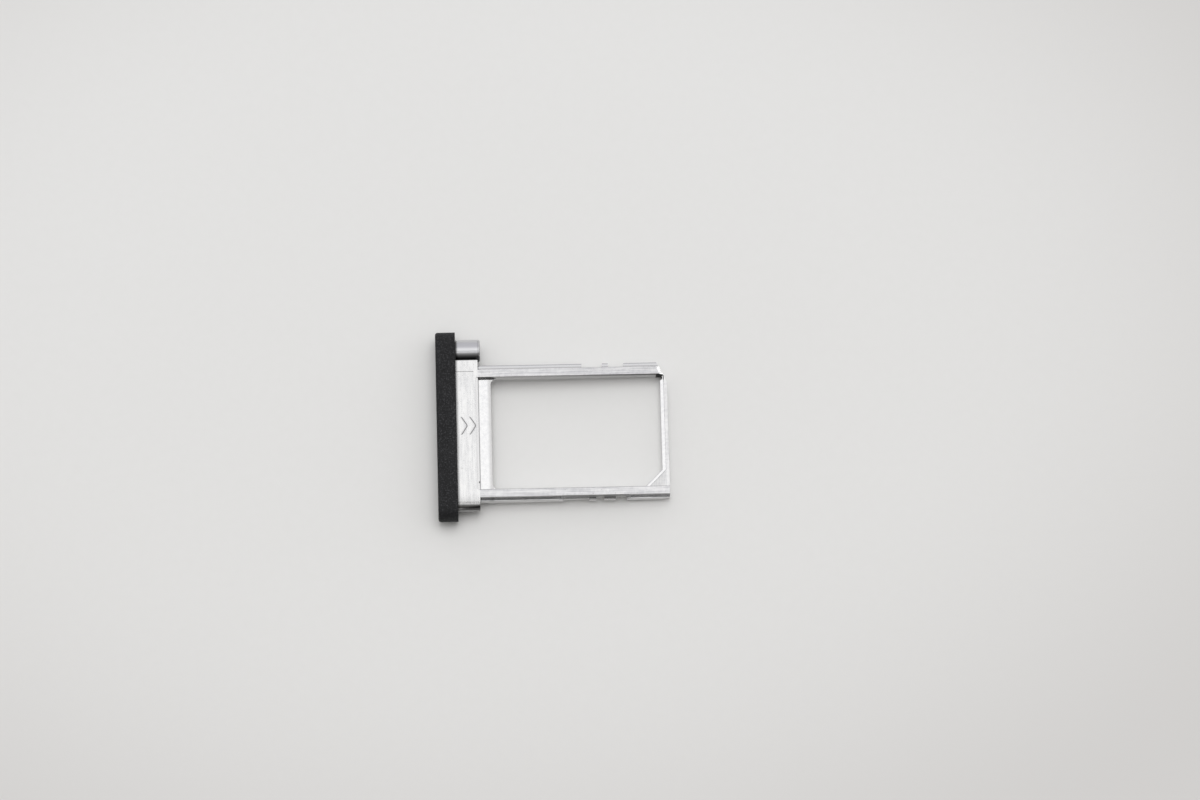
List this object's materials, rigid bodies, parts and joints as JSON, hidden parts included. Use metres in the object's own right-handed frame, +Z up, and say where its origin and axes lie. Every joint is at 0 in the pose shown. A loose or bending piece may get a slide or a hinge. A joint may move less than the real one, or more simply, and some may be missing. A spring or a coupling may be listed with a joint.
{
  "type": "sim card tray",
  "caption": "Slide-in card tray: black pill-shaped face plate with a pin hole, and an open metal frame with rails, ledges and a corner web that hold a small card.",
  "frame": {"origin": "under the middle of the tray, level with the underside of the face plate", "axes": "+X into the slot, +Y towards the pin hole's end of the face plate, +Z up"},
  "size_m": [0.0314, 0.0262, 0.0036],
  "materials": {
    "face_plate": "fine matte black",
    "tray_metal": "bright as cast, lightly worn"
  },
  "bodies": {
    "root": {"face_plate": "face_plate", "tray_frame": "tray_metal"}
  },
  "joints": []
}
